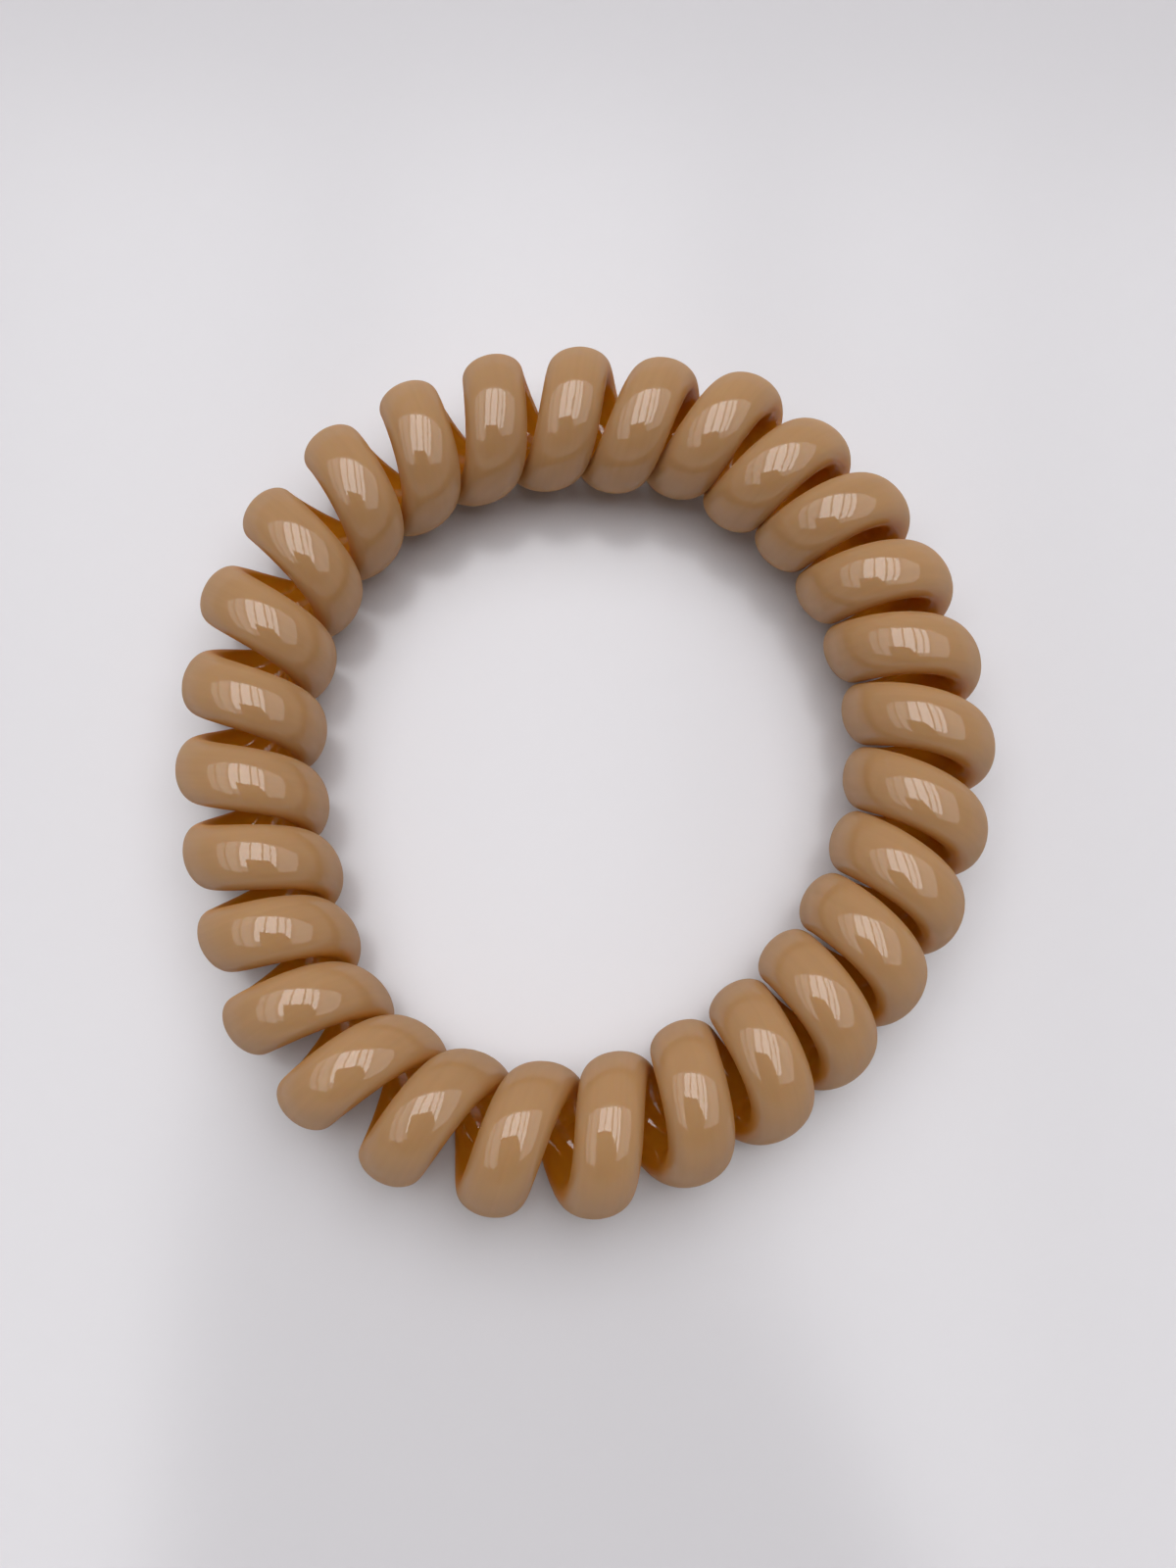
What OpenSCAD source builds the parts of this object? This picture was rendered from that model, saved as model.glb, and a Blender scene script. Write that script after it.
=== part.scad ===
// Spiral hair tie: one moulded cord, oval in section, wound in a coil, the coil
// bent into a closed ring that lies on a table. Millimetres, +Z up, +Y towards
// the far side of the ring, origin under the middle of the ring at table level.

/* [Cord] */
// Width of the cord, measured along the ring
cord_w = 4; // [2:0.05:6]
// Thickness of the cord, measured out from the middle of the coil
cord_t = 2.75; // [1:0.05:3.5]

/* [Coil] */
// Outside width of the coil, measured across the ring
coil_w = 9.35; // [8:0.05:14]
// Outside height of the coil above the table
coil_h = 9.5; // [8:0.05:14]
// Number of turns in the ring
turns = 28; // [18:1:40]
// Room between neighbouring turns along the inside of the ring
turn_gap = 0.3; // [0.25:0.05:3]

/* [Lie] */
// Where the first turn stands, in degrees round from +X
start_angle = -10.5; // [-180:0.5:180]
// How much of the uneven lie is kept: 0 is a true circle with even turns
unevenness = 1; // [0:0.1:1]

/* [Facets] */
// Rings of points in each turn
rings_per_turn = 16; // [12:4:16]
// Points round the cord
cord_sides = 12; // [8:4:12]

/* [Hidden] */

// The cord's middle line stands this far from the coil's middle, across and up.
coil_rx = (coil_w - cord_t) / 2;
coil_rz = (coil_h - cord_t) / 2;
// The turns stand side by side on the inside of the ring, which sets its size.
inside_r = turns * (cord_w + turn_gap) / (2 * PI);
ring_r = inside_r + coil_rx;
// Angle from one turn to the next
pitch = 360 / turns;

// How the ring lies, a row for each twelfth of the way round, anticlockwise.
//   out:  the ring bulges outwards, as a share of its radius
//   push: the turns are pushed on round the ring, as a share of their pitch
//   lean: the top of a turn stands on from its middle, as a share of the pitch
//   skew: the outside of a turn stands on from its middle, the same
OUT = 0;
PUSH = 1;
LEAN = 2;
SKEW = 3;
LIE = [
    // out, push, lean, skew
    [-0.045, -0.02, -0.06, -0.04],
    [-0.025, 0.04, -0.05, -0.04],
    [0.020, 0.00, -0.03, -0.03],
    [0.030, -0.12, -0.06, 0.02],
    [0.030, -0.16, -0.10, 0.06],
    [0.010, -0.14, -0.05, 0.07],
    [-0.065, 0.01, 0.08, 0.05],
    [-0.065, 0.24, 0.04, -0.08],
    [0.055, 0.15, -0.08, -0.09],
    [0.080, 0.05, -0.07, 0.03],
    [0.010, 0.02, 0.03, 0.09],
    [-0.045, -0.04, 0.03, 0.05]
];

// Turns that stand out of line with their neighbours.
//   turn: its number, counted anticlockwise from the first
//   out:  how far it stands out, as a share of the coil's width
TURN = 0;
STEP = 1;
ODD_TURNS = [
    // turn, out
    [1, 0.01],
    [6, 0.06],
    [7, -0.02],
    [8, -0.01],
    [13, 0.02],
    [22, 0.02]
];

function unit(v) = v / norm(v);

function lie_row(i) = LIE[(i + len(LIE)) % len(LIE)];

// A smooth curve through four rows, between the second and the third
function between(a, b, c, d, t) =
    b + t / 2 * (c - a + t * (2 * a - 5 * b + 4 * c - d + t * (3 * (b - c) + d - a)));

// The row of LIE at a place round the ring, from 0 to 1
function lie(place) =
    let (s = place * len(LIE), i = floor(s))
    unevenness * between(lie_row(i - 1), lie_row(i), lie_row(i + 1), lie_row(i + 2), s - i);

// Full over the top half of a turn, and fading away through its bottom half
function half_turn(t) = cos(360 * min(max(t - 0.25, 0), 0.25)) ^ 2;

// How far an odd turn stands out at turn u, from the middle of its top half
function odd_step(u, odd) =
    let (away = abs((u - odd[TURN] - 0.25 + 1.5 * turns) % turns - turns / 2))
    odd[STEP] * half_turn(away);

function odd_out(u) = coil_w * unevenness * [for (odd = ODD_TURNS) odd_step(u, odd)] * [for (odd = ODD_TURNS) 1];

// The direction out from the ring's axis at turn u
function ring_out(u) =
    let (
        row = lie(u / turns),
        a = start_angle
            + pitch * (u + row[PUSH] + row[LEAN] * sin(360 * u) + row[SKEW] * cos(360 * u))
    )
    [cos(a), sin(a), 0];

// The direction out from the coil's middle at turn u: whole numbers point out
// from the ring, quarters up, halves in and three quarters down.
function coil_out(u) = ring_out(u) * cos(360 * u) + [0, 0, sin(360 * u)];

// The cord's middle line at turn u
function cord_point(u) =
    let (r = ring_r * (1 + lie(u / turns)[OUT]) + odd_out(u) + coil_rx * cos(360 * u))
    ring_out(u) * r + [0, 0, coil_h / 2 + coil_rz * sin(360 * u)];

// The points of one oval cross section at turn u
function cord_ring(u) =
    let (
        step = 0.001,
        along = unit(cord_point(u + step) - cord_point(u - step)),
        across = unit(cross(along, coil_out(u))),
        outward = cross(across, along),
        middle = cord_point(u)
    )
    [for (j = [0 : cord_sides - 1])
        let (a = 360 * j / cord_sides)
        middle + across * cord_w / 2 * cos(a) + outward * cord_t / 2 * sin(a)];

cord_rings = turns * rings_per_turn;
cord_points = [for (i = [0 : cord_rings - 1]) each cord_ring(i / rings_per_turn)];

function corner(i, j) = (i % cord_rings) * cord_sides + j % cord_sides;

cord_faces = [
    for (i = [0 : cord_rings - 1], j = [0 : cord_sides - 1])
    each [
        [corner(i, j), corner(i + 1, j + 1), corner(i + 1, j)],
        [corner(i, j), corner(i, j + 1), corner(i + 1, j + 1)]
    ]
];

// The middle of the finished ring's own box
function middle_of(values) = (min(values) + max(values)) / 2;
ring_middle = [middle_of([for (p = cord_points) p.x]), middle_of([for (p = cord_points) p.y]), 0];

// The one piece: the cord's ends are welded, so the coil runs round without a break.
module coil_cord() {
    color("#b18f74")
        translate(-ring_middle)
            polyhedron(points = cord_points, faces = cord_faces, convexity = 10);
}

coil_cord();
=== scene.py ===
"""Spiral hair tie: a glossy moulded cord, wound in a coil and closed into a ring, lying on a pale table."""

import math

import bpy
from mathutils import Matrix, Vector


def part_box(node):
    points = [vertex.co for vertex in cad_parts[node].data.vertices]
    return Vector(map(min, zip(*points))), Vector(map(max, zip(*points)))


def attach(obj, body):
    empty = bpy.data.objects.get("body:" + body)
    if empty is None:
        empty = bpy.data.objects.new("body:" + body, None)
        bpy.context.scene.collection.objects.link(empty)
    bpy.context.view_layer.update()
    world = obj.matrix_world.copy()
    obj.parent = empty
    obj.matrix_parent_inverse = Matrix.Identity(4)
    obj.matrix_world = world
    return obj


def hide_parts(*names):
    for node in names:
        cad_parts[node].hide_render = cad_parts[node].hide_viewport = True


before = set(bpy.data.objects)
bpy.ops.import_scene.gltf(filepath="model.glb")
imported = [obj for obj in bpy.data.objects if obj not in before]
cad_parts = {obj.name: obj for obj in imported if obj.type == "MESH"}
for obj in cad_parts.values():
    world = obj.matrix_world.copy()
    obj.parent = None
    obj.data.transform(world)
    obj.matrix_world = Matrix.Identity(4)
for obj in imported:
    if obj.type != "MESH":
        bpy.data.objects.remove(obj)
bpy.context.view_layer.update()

bl_info = {
    "name": "Spiral hair tie",
    "version": (1, 0, 0),
    "blender": (4, 5, 0),
    "location": "3D View > Sidebar > Hair tie",
    "description": "Builds a coiled elastic hair tie on its packed model, with a table, lights and a camera",
    "category": "Add Mesh",
}

CORD = "coil_cord"
MM = 0.001

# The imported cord's own box, which the finished cord fills
CORD_LOW, CORD_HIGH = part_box(CORD)

# What sets the scale of the patterns on the cord's skin, in millimetres: the cord's length, and about
# half the thickness and half the width of its oval section
CORD_RUN = 605.0
HALF_THICKNESS = 1.4
HALF_WIDTH = 2.0

# The patterns: each one's size along the cord and round it in millimetres, and a shift that keeps it
# apart from the others
CLOUD = (9.0, 3.0, 0.0)
STREAK = (30.0, 0.35, 7.0)
WAVE = (3.0, 2.2, 3.0)
RIPPLE = (1.1, 0.8, 11.0)
GRAIN = (0.7, 0.45, 17.0)
PATTERN_DETAIL = 2.0

# How much the clouds and the streaks change the cord's colour
CLOUD_SHADE = 0.18
STREAK_SHADE = 0.13

# How high the patterns stand on the skin, in thousandths of a millimetre
MICRON = 0.001 * MM
WAVE_HEIGHT = 7.0
RIPPLE_HEIGHT = 8.0
STREAK_HEIGHT = 1.8
GRAIN_HEIGHT = 6.0

# Where the painted shade begins on the oval section, and where it is full: 1 is the line that faces away
# from the middle of the coil, and -1 the line that faces it. The painted shade is a deep orange-brown that
# stands in for the shade and warm bounce light in the coil's hollows
PAINTED_SHADE_FROM = 0.55
PAINTED_SHADE_TO = -0.35

# How far the skin has turned away from the eye where its gloss begins to fade, and where the fading ends
GLOSS_FADE = (0.42, 0.85)

# The roughness and shine of skin without its gloss, and the shine of glossy skin
MATT_ROUGHNESS = 0.5
MATT_SHINE = 0.02
GLOSSY_SHINE = 0.5

# How far red, green and blue light go into the cord, in millimetres
LIGHT_REACH = (1.0, 0.4, 0.12)

# The width of the camera's sensor in millimetres, and the nearest thing that the camera sees
SENSOR_WIDTH = 36.0
NEAREST_SEEN = 5 * MM

# How high the window hangs, in metres
WINDOW_HEIGHT = 2.5

# What shows overhead in the gloss: the window's four panes, a broad weak sheen round them, and dimmer
# strips to the left and right. A row for each: its left, right, near and far edges in degrees off the
# zenith, as seen from the table, and its brightness.
PANES = (
    (-26.0, -12.0, -27.0, 37.0, 3.9),
    (-9.5, 5.0, -27.0, 37.0, 4.4),
    (8.0, 17.0, -27.0, 37.0, 3.8),
    (19.0, 26.0, -27.0, 36.0, 3.9),
    (-31.0, 31.0, -40.0, 40.0, 1.2),
    (-60.0, -48.0, -45.0, 40.0, 1.3),
    (-46.0, -31.0, -45.0, 40.0, 1.8),
    (31.0, 58.0, -40.0, 40.0, 1.5),
)

# The soft light on the table and the cord, most of it from the far side, given in the same way
SOFT_WINDOW = (-35.0, 35.0, -13.0, 46.0, 2.3)

# The step in height from one lamp to the next, in metres. No two lamps share a height, because lamps
# that lie in one plane lose their light in the render.
LAMP_STEP = 0.01

# The dark card over the camera: its corners in millimetres, how high it is, and its finish
FLAG_CORNERS = ((-49, -17), (9, -17), (32, -50), (45, -80), (45, -165), (-49, -165))
FLAG_HEIGHT = 104 * MM
FLAG_COLOUR = (0.05, 0.05, 0.055)
FLAG_ROUGHNESS = 0.6

# How bright the dim room is on each side, at the foot of the wall and higher up, and overhead
ROOM_SIDES = {"far": (0.4, 0.5), "near": (0.75, 0.05), "left": (0.4, 0.4), "right": (0.5, 0.3)}
ROOM_OVERHEAD = 0.07
# Where the foot of the wall begins to fade and where it ends: 0 is the horizon and 1 the zenith
FOOT_FADE = (0.15, 0.6)
# The colour of the light from the foot of the walls, and of all the other light
FOOT_COLOUR = (1.0, 0.9, 0.82)
DAYLIGHT = (0.98, 0.98, 1.0)
# What the camera sees behind the table, in place of the room
BACKDROP = (0.74, 0.73, 0.74)

# The table's side in metres, and its finish
TABLE_SIDE = 6.0
TABLE_COLOUR = (0.66, 0.645, 0.665)
TABLE_ROUGHNESS = 0.2
TABLE_IOR = 1.45

# How the ring lies, a row for each twelfth of the way round, anticlockwise.
#   out:  the ring bulges outwards, as a share of its radius
#   push: the turns are pushed on round the ring, as a share of their pitch
#   lean: the top of a turn stands on from its middle, as a share of the pitch
#   skew: the outside of a turn stands on from its middle, the same
LIE_COLUMNS = ("out", "push", "lean", "skew")
LIE = (
    (-0.045, -0.02, -0.06, -0.04),
    (-0.025, 0.04, -0.05, -0.04),
    (0.020, 0.00, -0.03, -0.03),
    (0.030, -0.12, -0.06, 0.02),
    (0.030, -0.16, -0.10, 0.06),
    (0.010, -0.14, -0.05, 0.07),
    (-0.065, 0.01, 0.08, 0.05),
    (-0.065, 0.24, 0.04, -0.08),
    (0.055, 0.15, -0.08, -0.09),
    (0.080, 0.05, -0.07, 0.03),
    (0.010, 0.02, 0.03, 0.09),
    (-0.045, -0.04, 0.03, 0.05),
)

# Turns that stand out of line with their neighbours: the turn's number, and how far, in coil widths
ODD_TURNS = {1: 0.01, 6: 0.06, 7: -0.02, 8: -0.01, 13: 0.02, 22: 0.02}
QUARTER_TURN = 0.25


def linear(red, green, blue):
    """A colour as a screen shows it, 0 to 255 a channel, as the light that it stands for."""
    shares = [channel / 255 for channel in (red, green, blue)]
    return [s / 12.92 if s <= 0.04045 else ((s + 0.055) / 1.055) ** 2.4 for s in shares]


class Wire:
    """A node's output. A sum or product of wires, numbers and tuples adds the node that works it out."""

    def __init__(self, board, socket):
        self.board = board
        self.socket = socket

    def __add__(self, other):
        return self.board.calc("ADD", self, other)

    def __radd__(self, other):
        return self.board.calc("ADD", other, self)

    def __sub__(self, other):
        return self.board.calc("SUBTRACT", self, other)

    def __rsub__(self, other):
        return self.board.calc("SUBTRACT", other, self)

    def __mul__(self, other):
        return self.board.calc("MULTIPLY", self, other)

    def __rmul__(self, other):
        return self.board.calc("MULTIPLY", other, self)

    def __truediv__(self, other):
        return self.board.calc("DIVIDE", self, other)

    def __rtruediv__(self, other):
        return self.board.calc("DIVIDE", other, self)

    def __neg__(self):
        return self.board.calc("MULTIPLY", self, -1.0)


class Board:
    """Adds nodes to one tree."""

    def __init__(self, tree):
        self.tree = tree

    def node(self, kind, *values, settings=None, **named):
        """A node of a kind. Its settings come first, then its live inputs in order, then inputs by name."""
        made = self.tree.nodes.new(kind)
        for key, value in (settings or {}).items():
            setattr(made, key, value)
        live = [socket for socket in made.inputs if socket.enabled]
        for socket, value in zip(live, values):
            self.feed(socket, value)
        for name, value in named.items():
            words = name.replace("_", " ")
            self.feed(next(s for s in live if s.name.lower() == words), value)
        return made

    def feed(self, socket, value):
        """Links a wire to an input, or sets the input to a value."""
        if isinstance(value, Wire):
            self.tree.links.new(value.socket, socket)
        elif socket.type == "RGBA":
            socket.default_value = (*value, 1.0)
        else:
            socket.default_value = value

    def wire(self, kind, *values, settings=None, output=None, **named):
        """The first live output of a new node, or the one with a name."""
        made = self.node(kind, *values, settings=settings, **named)
        live = [socket for socket in made.outputs if socket.enabled]
        return Wire(self, live[0] if output is None else next(s for s in live if s.name == output))

    def calc(self, operation, *values):
        """Maths on numbers and wires, as a Vector Math node where one of them is a vector."""
        vectors = [isinstance(v, tuple) or isinstance(v, Wire) and v.socket.type == "VECTOR" for v in values]
        if not any(vectors):
            return self.wire("ShaderNodeMath", *values, settings={"operation": operation})
        if operation == "MULTIPLY" and not all(vectors):
            vector, number = values if vectors[0] else reversed(values)
            return self.wire("ShaderNodeVectorMath", vector, number, settings={"operation": "SCALE"})
        return self.wire("ShaderNodeVectorMath", *values, settings={"operation": operation})

    def sin(self, angle):
        return self.calc("SINE", angle)

    def cos(self, angle):
        return self.calc("COSINE", angle)

    def clamp(self, value, low, high):
        return self.calc("MINIMUM", self.calc("MAXIMUM", value, low), high)

    def vector(self, x, y, z):
        return self.wire("ShaderNodeCombineXYZ", x, y, z)

    def unit(self, vector):
        return self.calc("NORMALIZE", vector)

    def cross(self, one, other):
        return self.calc("CROSS_PRODUCT", one, other)


# The sizes of the coil that its node group takes: the socket's name, its kind, and the setting that gives it
COIL_INPUTS = (
    ("Cord width", "Float", "cord_width"),
    ("Cord thickness", "Float", "cord_thickness"),
    ("Coil width", "Float", "coil_width"),
    ("Coil height", "Float", "coil_height"),
    ("Turns", "Int", "turns"),
    ("Turn gap", "Float", "turn_gap"),
    ("Start angle", "Float", "start_angle"),
    ("Unevenness", "Float", "unevenness"),
    ("Rings per turn", "Int", "rings_per_turn"),
    ("Cord sides", "Int", "cord_sides"),
)


def between(a, b, c, d, t):
    """A smooth curve through four values, from the second to the third as t goes from 0 to 1."""
    return b + t / 2 * (c - a + t * (2 * a - 5 * b + 4 * c - d + t * (3 * (b - c) + d - a)))


def lie_at(board, guide, place):
    """The columns of LIE at a place round the ring, from 0 to 1, read from the guide's points."""
    rows = len(LIE)
    spot = place * float(rows)
    row = board.calc("FLOOR", spot)
    columns = {}
    for name in LIE_COLUMNS:
        column = board.wire("GeometryNodeInputNamedAttribute", name, settings={"data_type": "FLOAT"})
        wrapped = [board.calc("FLOORED_MODULO", row + step, rows) for step in (-1.0, 0.0, 1.0, 2.0)]
        near = [board.wire("GeometryNodeSampleIndex", guide, column, index) for index in wrapped]
        columns[name] = between(*near, spot - row)
    return columns


def odd_out(board, turn, turns):
    """How far odd turns stand out at a place along the cord, in coil widths: the top half, fading below."""
    total = 0.0
    for number, share in ODD_TURNS.items():
        ahead = board.calc("FLOORED_MODULO", turn - (number + QUARTER_TURN) + turns * 1.5, turns)
        away = board.calc("ABSOLUTE", ahead - turns / 2)
        fade = board.cos(board.clamp(away - QUARTER_TURN, 0.0, QUARTER_TURN) * math.tau)
        total = total + fade * fade * share
    return total


def coil_tree():
    """The node group that winds the cord: a guide of LIE's rows goes in, and the closed coil comes out."""
    tree = bpy.data.node_groups.new("Wound cord", "GeometryNodeTree")
    board = Board(tree)
    tree.interface.new_socket("Geometry", in_out="OUTPUT", socket_type="NodeSocketGeometry")
    tree.interface.new_socket("Lie", in_out="INPUT", socket_type="NodeSocketGeometry")
    for name, kind, _ in COIL_INPUTS:
        tree.interface.new_socket(name, in_out="INPUT", socket_type="NodeSocket" + kind)
    tree.interface.new_socket("Finish", in_out="INPUT", socket_type="NodeSocketMaterial")
    given = {s.name: Wire(board, s) for s in board.node("NodeGroupInput").outputs if s.name}
    turns = given["Turns"]
    cord_width, cord_thickness = given["Cord width"], given["Cord thickness"]

    # The sizes that follow from the ones given
    radius_across = (given["Coil width"] - cord_thickness) / 2
    radius_up = (given["Coil height"] - cord_thickness) / 2
    ring_radius = turns * (cord_width + given["Turn gap"]) / math.tau + radius_across
    pitch = math.tau / turns

    # The cord's middle line: whole turns point out from the ring, quarters up, halves in, three quarters down
    rings = turns * given["Rings per turn"]
    turn = board.wire("GeometryNodeInputIndex") / given["Rings per turn"]
    lie = lie_at(board, given["Lie"], turn / turns)
    uneven = given["Unevenness"]
    up, out = board.sin(turn * math.tau), board.cos(turn * math.tau)
    moved_on = (lie["push"] + lie["lean"] * up + lie["skew"] * out) * uneven
    angle = given["Start angle"] + pitch * (turn + moved_on)
    ring_out = board.vector(board.cos(angle), board.sin(angle), 0.0)
    radius = (
        ring_radius * (lie["out"] * uneven + 1.0)
        + odd_out(board, turn, turns) * given["Coil width"] * uneven
        + radius_across * out
    )
    height = given["Coil height"] / 2 + radius_up * up
    middle_line = board.wire("GeometryNodeCurvePrimitiveCircle", rings, 1.0)
    middle_line = board.wire(
        "GeometryNodeSetPosition", middle_line, position=ring_out * radius + board.vector(0.0, 0.0, height)
    )

    # The cord's flat side faces away from the middle of the coil
    coil_out = ring_out * out + board.vector(0.0, 0.0, up)
    along = board.wire("GeometryNodeInputTangent")
    across = board.unit(board.cross(along, coil_out))
    outward = board.cross(across, along)
    middle_line = board.wire(
        "GeometryNodeSetCurveNormal", middle_line, settings={"mode": "FREE"}, normal=outward
    )
    round_ring = board.wire("GeometryNodeSplineParameter")
    for name, value in (
        ("ring_cos", board.cos(round_ring * math.tau)),
        ("ring_sin", board.sin(round_ring * math.tau)),
    ):
        middle_line = board.wire("GeometryNodeStoreNamedAttribute", middle_line, name=name, value=value)

    # The oval section, with its place across and outwards kept for the finish
    share = board.wire("GeometryNodeInputIndex") / given["Cord sides"] * math.tau
    flat, crest = board.cos(share), board.sin(share)
    section = board.wire("GeometryNodeCurvePrimitiveCircle", given["Cord sides"], 1.0)
    for name, value in (("section_across", flat), ("section_out", crest)):
        section = board.wire("GeometryNodeStoreNamedAttribute", section, name=name, value=value)
    section = board.wire(
        "GeometryNodeSetPosition",
        section,
        position=board.vector(crest * cord_thickness / 2, flat * cord_width / -2, 0.0),
    )
    cord = board.wire("GeometryNodeCurveToMesh", middle_line, section)

    # The ring stands over the middle of its own box, on the table
    box = board.node("GeometryNodeBoundBox", cord)
    low, high = (Wire(board, box.outputs[name]) for name in ("Min", "Max"))
    shift = (low + high) * (-0.5, -0.5, 0.0)
    cord = board.wire("GeometryNodeTransform", cord, translation=shift)
    cord = board.wire("GeometryNodeSetShadeSmooth", cord)
    cord = board.wire("GeometryNodeRealizeInstances", cord)
    cord = board.wire("GeometryNodeSetMaterial", cord, material=given["Finish"])
    board.node("NodeGroupOutput", cord)
    return tree


def plain_mesh(carrier, name):
    """The carrier's evaluated shape as a plain mesh of its own. The carrier is taken away."""
    view = bpy.context.evaluated_depsgraph_get()
    mesh = bpy.data.meshes.new_from_object(carrier.evaluated_get(view))
    mesh.name = name
    bpy.data.objects.remove(carrier)
    return mesh


def guide_mesh():
    """A mesh of one point for each row of LIE, with the row's values as attributes."""
    mesh = bpy.data.meshes.new("lie_guide")
    mesh.from_pydata([(number, 0, 0) for number in range(len(LIE))], [], [])
    for name, column in zip(LIE_COLUMNS, zip(*LIE)):
        mesh.attributes.new(name, "FLOAT", "POINT").data.foreach_set("value", column)
    return mesh


def clear_board(owner):
    """A board for the emptied node tree of a material or a world."""
    owner.use_nodes = True
    owner.node_tree.nodes.clear()
    return Board(owner.node_tree)


def plain_finish(name, **values):
    """A finish that is the same all over."""
    material = bpy.data.materials.new(name)
    board = clear_board(material)
    board.node("ShaderNodeOutputMaterial", board.wire("ShaderNodeBsdfPrincipled", **values))
    return material


def cord_noise(board, along, around, shift):
    """A pattern on the cord's skin from -0.5 to 0.5, with its size along the cord and round it."""
    read = {
        name: board.wire("ShaderNodeAttribute", settings={"attribute_name": name}, output="Fac")
        for name in ("ring_cos", "ring_sin", "section_across", "section_out")
    }
    # The cord runs round a circle of this radius in the noise, so the pattern meets itself at its end
    radius = CORD_RUN / math.tau / along
    noise = board.wire(
        "ShaderNodeTexNoise",
        settings={"noise_dimensions": "4D"},
        vector=board.vector(
            read["ring_cos"] * radius + shift,
            read["ring_sin"] * radius,
            read["section_out"] * (HALF_THICKNESS / around),
        ),
        w=read["section_across"] * (HALF_WIDTH / around),
        scale=1.0,
        detail=PATTERN_DETAIL,
    )
    return noise - 0.5


def elastomer(tie):
    """The cord's finish: glossy tan elastomer, with painted shade in deep orange-brown on the inside of the
    coil.
    """
    material = bpy.data.materials.new("tan_elastomer")
    board = clear_board(material)

    # Painted shade: the inside of the coil and the sides that turns show each other are painted a deep
    # orange-brown, in place of the shade and warm bounce light between the turns
    outside = board.wire("ShaderNodeAttribute", settings={"attribute_name": "section_out"}, output="Fac")
    painted_shade = board.wire(
        "ShaderNodeMapRange",
        settings={"interpolation_type": "SMOOTHSTEP"},
        value=outside,
        from_min=PAINTED_SHADE_FROM,
        from_max=PAINTED_SHADE_TO,
    )
    cloud = cord_noise(board, *CLOUD)
    streak = cord_noise(board, *STREAK)
    shade = cloud * CLOUD_SHADE + streak * STREAK_SHADE + 1.0
    colour = board.wire(
        "ShaderNodeMix",
        settings={"data_type": "RGBA"},
        factor=painted_shade,
        a=tuple(tie.colour),
        b=tuple(tie.painted_shade_colour),
    )
    colour = board.wire("ShaderNodeVectorMath", colour, shade, settings={"operation": "SCALE"})

    # The mould leaves the skin very slightly wavy
    wave = cord_noise(board, *WAVE)
    ripple = cord_noise(board, *RIPPLE)
    grain = cord_noise(board, *GRAIN)
    height = wave * WAVE_HEIGHT + ripple * RIPPLE_HEIGHT + streak * STREAK_HEIGHT + grain * GRAIN_HEIGHT
    bump = board.wire("ShaderNodeBump", strength=1.0, distance=MICRON, height=height)

    # The gloss fades where the skin turns away from the eye
    turned_away = board.wire("ShaderNodeLayerWeight", output="Facing")
    gloss = board.wire(
        "ShaderNodeMapRange",
        settings={"interpolation_type": "SMOOTHSTEP"},
        value=turned_away,
        from_min=GLOSS_FADE[0],
        from_max=GLOSS_FADE[1],
        to_min=1.0,
        to_max=tie.end_gloss,
    )
    matt, glossy = (
        board.wire(
            "ShaderNodeBsdfPrincipled",
            base_color=colour,
            roughness=roughness,
            specular_ior_level=specular,
            subsurface_weight=tie.depth,
            subsurface_radius=LIGHT_REACH,
            subsurface_scale=MM,
            normal=bump,
        )
        for roughness, specular in ((MATT_ROUGHNESS, MATT_SHINE), (tie.roughness, GLOSSY_SHINE))
    )
    shader = board.wire("ShaderNodeMixShader", gloss, matt, glossy)
    board.node("ShaderNodeOutputMaterial", shader)
    return material


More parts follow.
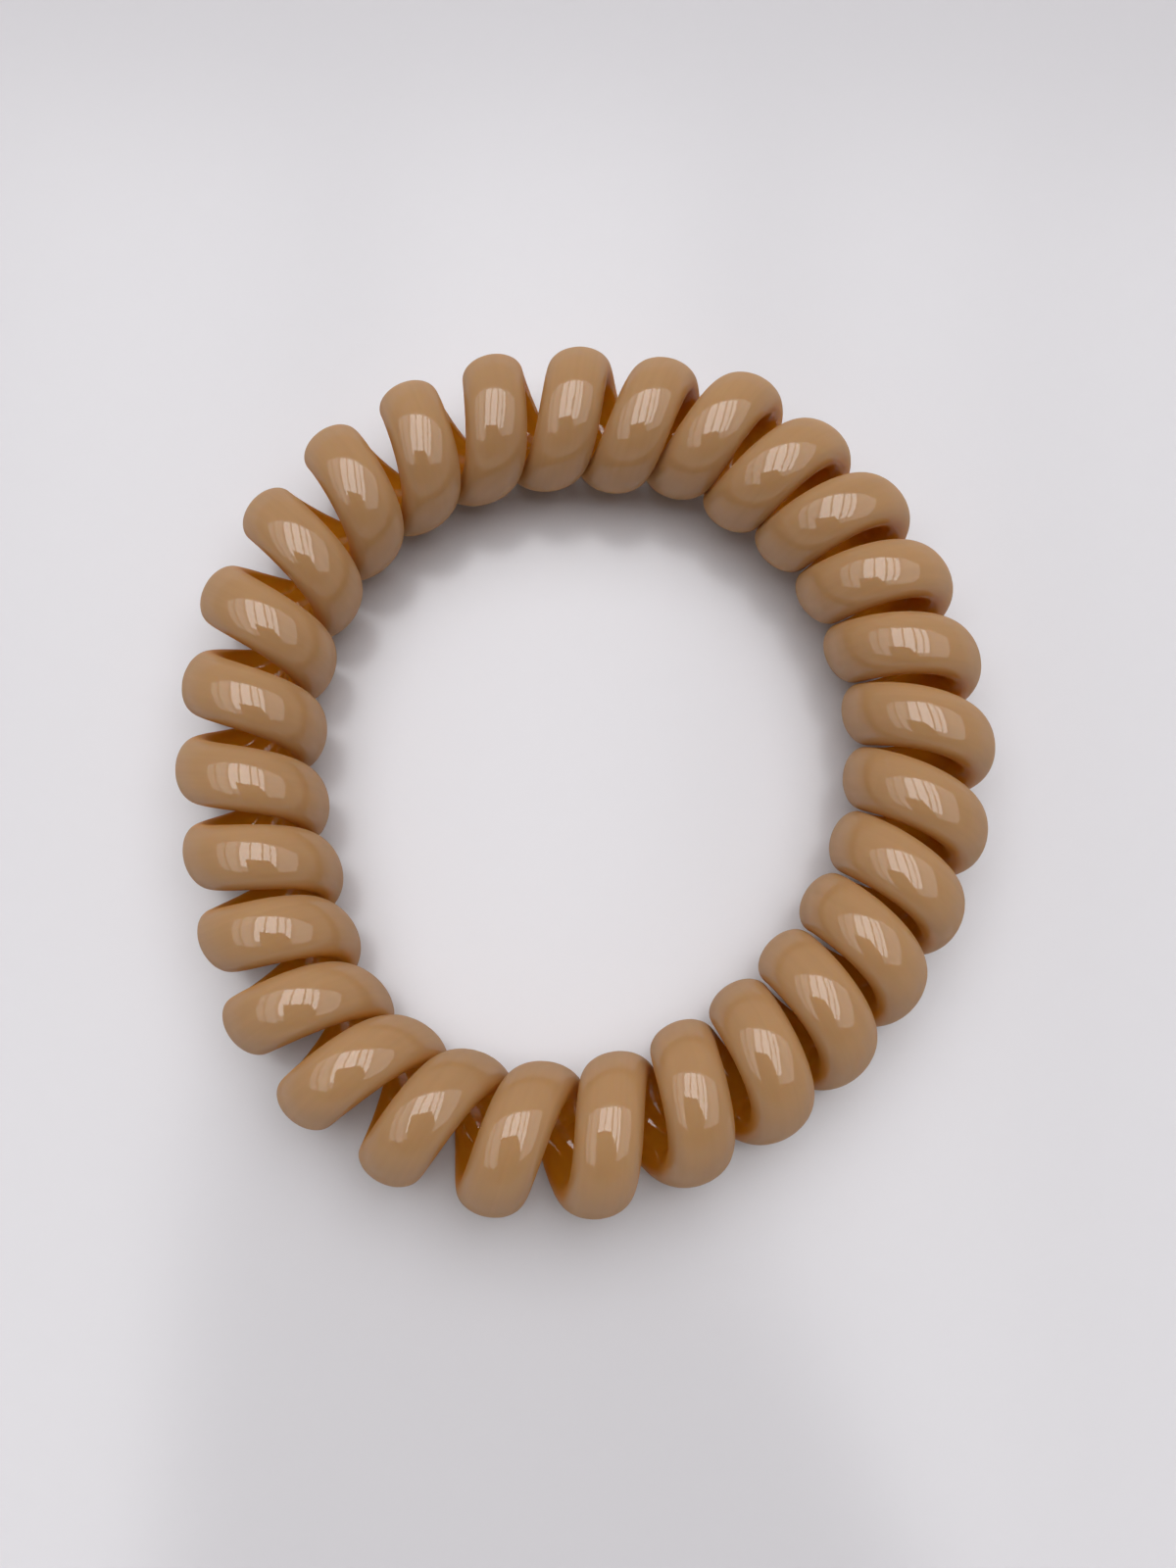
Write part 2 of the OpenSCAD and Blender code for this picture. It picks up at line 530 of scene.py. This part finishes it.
class TieSettings(bpy.types.PropertyGroup):
    """Sizes and colours of the hair tie."""

    cord_width: bpy.props.FloatProperty(
        name="Cord width", description="Width of the oval cord", default=4.0 * MM, unit="LENGTH"
    )
    cord_thickness: bpy.props.FloatProperty(
        name="Cord thickness", description="Thickness of the oval cord", default=2.75 * MM, unit="LENGTH"
    )
    coil_width: bpy.props.FloatProperty(
        name="Coil width",
        description="Outside width of the coil, across the ring",
        default=9.35 * MM,
        unit="LENGTH",
    )
    coil_height: bpy.props.FloatProperty(
        name="Coil height",
        description="Outside height of the coil",
        default=CORD_HIGH.z - CORD_LOW.z,
        unit="LENGTH",
    )
    turns: bpy.props.IntProperty(name="Turns", description="Turns in the ring", default=28, min=3)
    turn_gap: bpy.props.FloatProperty(
        name="Turn gap",
        description="Room between turns along the inside of the ring",
        default=0.3 * MM,
        unit="LENGTH",
    )
    start_angle: bpy.props.FloatProperty(
        name="Start angle",
        description="Where the first turn stands, round from +X",
        default=math.radians(-10.5),
        unit="ROTATION",
    )
    unevenness: bpy.props.FloatProperty(
        name="Unevenness", description="How much of the uneven lie is kept", default=1.0, min=0.0, max=1.0
    )
    rings_per_turn: bpy.props.IntProperty(
        name="Rings per turn", description="Rings of points in each turn", default=64, min=12
    )
    cord_sides: bpy.props.IntProperty(
        name="Cord sides", description="Points round the cord", default=48, min=8
    )
    colour: bpy.props.FloatVectorProperty(
        name="Colour",
        description="The cord's own colour",
        subtype="COLOR",
        size=3,
        default=linear(177, 136, 93),
    )
    # Painted shade: a deep orange-brown for the inside of the coil, standing in for its shade and warm bounce
    # light
    painted_shade_colour: bpy.props.FloatVectorProperty(
        name="Painted shade colour",
        description="The cord's colour on the inside of the coil",
        subtype="COLOR",
        size=3,
        default=linear(204, 132, 25),
    )
    roughness: bpy.props.FloatProperty(
        name="Roughness", description="How matt the cord's gloss is", default=0.035, min=0.02, max=1.0
    )
    end_gloss: bpy.props.FloatProperty(
        name="Gloss of the ends",
        description="Share of the gloss left where the skin turns away from the eye",
        default=0.12,
        min=0.0,
        max=1.0,
    )
    depth: bpy.props.FloatProperty(
        name="Depth",
        description="How much light goes into the cord and out again",
        default=0.3,
        min=0.0,
        max=1.0,
    )


class StageSettings(bpy.types.PropertyGroup):
    """Where the camera stands, and how it sees the tie."""

    camera_height: bpy.props.FloatProperty(
        name="Camera elevation",
        description="How far the camera stands above the horizon",
        default=math.radians(76.67),
        unit="ROTATION",
    )
    camera_roll: bpy.props.FloatProperty(
        name="Camera roll",
        description="How far the camera is turned about its own line",
        default=math.radians(1.53),
        unit="ROTATION",
    )
    camera_distance: bpy.props.FloatProperty(
        name="Camera distance",
        description="From the camera to what it looks at",
        default=99.7 * MM,
        unit="LENGTH",
    )
    camera_target: bpy.props.FloatVectorProperty(
        name="Camera target",
        description="The point that the camera looks at",
        subtype="TRANSLATION",
        size=3,
        default=(0.145 * MM, -1.508 * MM, 4.5 * MM),
    )
    camera_lens: bpy.props.FloatProperty(
        name="Focal length", description="Of the camera, on a 36 mm sensor, in millimetres", default=36.1
    )


class HAIRTIE_OT_cord(bpy.types.Operator):
    """Winds the glossy cord and closes it into a ring"""

    bl_idname = "hairtie.cord"
    bl_label = "Wind the cord"

    def execute(self, context):
        tie = context.scene.tie
        carrier = bpy.data.objects.new("cord_guide", guide_mesh())
        context.scene.collection.objects.link(carrier)
        modifier = carrier.modifiers.new("Wound cord", "NODES")
        modifier.node_group = coil_tree()
        sockets = {item.name: item.identifier for item in modifier.node_group.interface.items_tree}
        for name, _, setting in COIL_INPUTS:
            modifier[sockets[name]] = getattr(tie, setting)
        modifier[sockets["Finish"]] = elastomer(tie)
        cord = bpy.data.objects.new("cord", plain_mesh(carrier, "cord"))
        context.scene.collection.objects.link(cord)
        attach(cord, "root")
        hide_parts(CORD)
        return {"FINISHED"}


class HAIRTIE_OT_stage(bpy.types.Operator):
    """Sets the table, the lights and the camera"""

    bl_idname = "hairtie.stage"
    bl_label = "Set the stage"

    def execute(self, context):
        stage = context.scene.tie_stage
        aim_camera(context.scene, stage)
        lay_table(context.scene)
        light_stage(context.scene)
        return {"FINISHED"}


def aim_camera(scene, stage):
    """The camera at the photograph's angle to the tie."""
    lens = bpy.data.cameras.new("camera")
    lens.lens = stage.camera_lens
    lens.sensor_width = SENSOR_WIDTH
    lens.clip_start = NEAREST_SEEN
    camera = bpy.data.objects.new("camera", lens)
    scene.collection.objects.link(camera)
    back = Vector((0.0, -math.cos(stage.camera_height), math.sin(stage.camera_height)))
    turned = back.to_track_quat("Z", "Y").to_matrix().to_4x4()
    roll = Matrix.Rotation(stage.camera_roll, 4, "Z")
    place = Vector(stage.camera_target) + back * stage.camera_distance
    camera.matrix_world = Matrix.Translation(place) @ turned @ roll
    scene.camera = camera


def dim_room():
    """A dim room, lit a little differently on each side. The camera sees a plain pale backdrop instead."""
    world = bpy.data.worlds.new("room")
    board = clear_board(world)
    parts = board.node("ShaderNodeSeparateXYZ", board.wire("ShaderNodeTexCoord", output="Generated"))
    across, far, up = (Wire(board, parts.outputs[name]) for name in "XYZ")
    facing = {"far": far, "near": -far, "left": -across, "right": across}
    foot = board.wire(
        "ShaderNodeMapRange",
        settings={"interpolation_type": "SMOOTHSTEP"},
        value=up,
        from_min=FOOT_FADE[0],
        from_max=FOOT_FADE[1],
        to_min=1.0,
        to_max=0.0,
    )
    lower, upper = 0.0, up * up * ROOM_OVERHEAD
    for side, (at_foot, above) in ROOM_SIDES.items():
        towards = board.calc("MAXIMUM", facing[side], 0.0)
        share = towards * towards
        lower = lower + share * at_foot * foot
        upper = upper + share * above * (1.0 - foot)
    low = board.wire("ShaderNodeBackground", FOOT_COLOUR, lower)
    high = board.wire("ShaderNodeBackground", DAYLIGHT, upper)
    room = board.wire("ShaderNodeAddShader", low, high)
    backdrop = board.wire("ShaderNodeBackground", BACKDROP, 1.0)
    seen = board.wire("ShaderNodeLightPath", output="Is Camera Ray")
    board.node("ShaderNodeOutputWorld", board.wire("ShaderNodeMixShader", seen, room, backdrop))
    return world


def pane(name, height, left, right, near, far, brightness):
    """One lit panel overhead: its edges in degrees off the zenith, as seen from the table's middle."""
    spread = [height * math.tan(math.radians(edge)) for edge in (left, right, near, far)]
    light = bpy.data.lights.new(name, "AREA")
    light.shape = "RECTANGLE"
    light.size = spread[1] - spread[0]
    light.size_y = spread[3] - spread[2]
    light.energy = brightness * math.pi * light.size * light.size_y
    light.color = DAYLIGHT
    lamp = bpy.data.objects.new(name, light)
    lamp.location = ((spread[0] + spread[1]) / 2, (spread[2] + spread[3]) / 2, height)
    lamp.visible_camera = False
    return lamp


def flag_card():
    """A dark card over the camera, which keeps a part of the window off the cord's gloss."""
    mesh = bpy.data.meshes.new("flag")
    mesh.from_pydata([(x * MM, y * MM, FLAG_HEIGHT) for x, y in FLAG_CORNERS], [], [range(len(FLAG_CORNERS))])
    mesh.materials.append(plain_finish("black_card", base_color=FLAG_COLOUR, roughness=FLAG_ROUGHNESS))
    card = bpy.data.objects.new("flag", mesh)
    card.visible_camera = False
    card.visible_diffuse = False
    card.visible_shadow = False
    return card


def light_stage(scene):
    """The dim room, what shows in the gloss, the soft light and the dark card."""
    scene.world = dim_room()
    for number, edges in enumerate(PANES):
        lamp = pane(f"pane_{number}", WINDOW_HEIGHT + LAMP_STEP * number, *edges)
        lamp.visible_diffuse = False
        scene.collection.objects.link(lamp)
    soft = pane("soft_window", WINDOW_HEIGHT - 2 * LAMP_STEP, *SOFT_WINDOW)
    soft.visible_glossy = False
    scene.collection.objects.link(soft)
    card = flag_card()
    scene.collection.objects.link(card)
    scene.view_settings.view_transform = "Standard"


def lay_table(scene):
    """A pale, slightly glossy table top."""
    mesh = bpy.data.meshes.new("table")
    half = TABLE_SIDE / 2
    corners = [(-half, -half, 0), (half, -half, 0), (half, half, 0), (-half, half, 0)]
    mesh.from_pydata(corners, [], [range(len(corners))])
    mesh.materials.append(
        plain_finish("pale_table", base_color=TABLE_COLOUR, roughness=TABLE_ROUGHNESS, ior=TABLE_IOR)
    )
    table = bpy.data.objects.new("table", mesh)
    scene.collection.objects.link(table)


class HAIRTIE_PT_panel(bpy.types.Panel):
    """The hair tie's sizes, and what builds it"""

    bl_idname = "HAIRTIE_PT_panel"
    bl_label = "Hair tie"
    bl_space_type = "VIEW_3D"
    bl_region_type = "UI"
    bl_category = "Hair tie"

    def draw(self, context):
        scene = context.scene
        for settings, work in ((scene.tie, HAIRTIE_OT_cord), (scene.tie_stage, HAIRTIE_OT_stage)):
            box = self.layout.box()
            for name in settings.__annotations__:
                box.prop(settings, name)
            box.operator(work.bl_idname)


CLASSES = (TieSettings, StageSettings, HAIRTIE_OT_cord, HAIRTIE_OT_stage, HAIRTIE_PT_panel)


def register():
    for cls in CLASSES:
        bpy.utils.register_class(cls)
    bpy.types.Scene.tie = bpy.props.PointerProperty(type=TieSettings)
    bpy.types.Scene.tie_stage = bpy.props.PointerProperty(type=StageSettings)


def unregister():
    del bpy.types.Scene.tie_stage
    del bpy.types.Scene.tie
    for cls in reversed(CLASSES):
        bpy.utils.unregister_class(cls)


def main():
    """Builds the tie and its stage."""
    register()
    for build in (bpy.ops.hairtie.cord, bpy.ops.hairtie.stage):
        build()


if __name__ == "__main__":
    main()
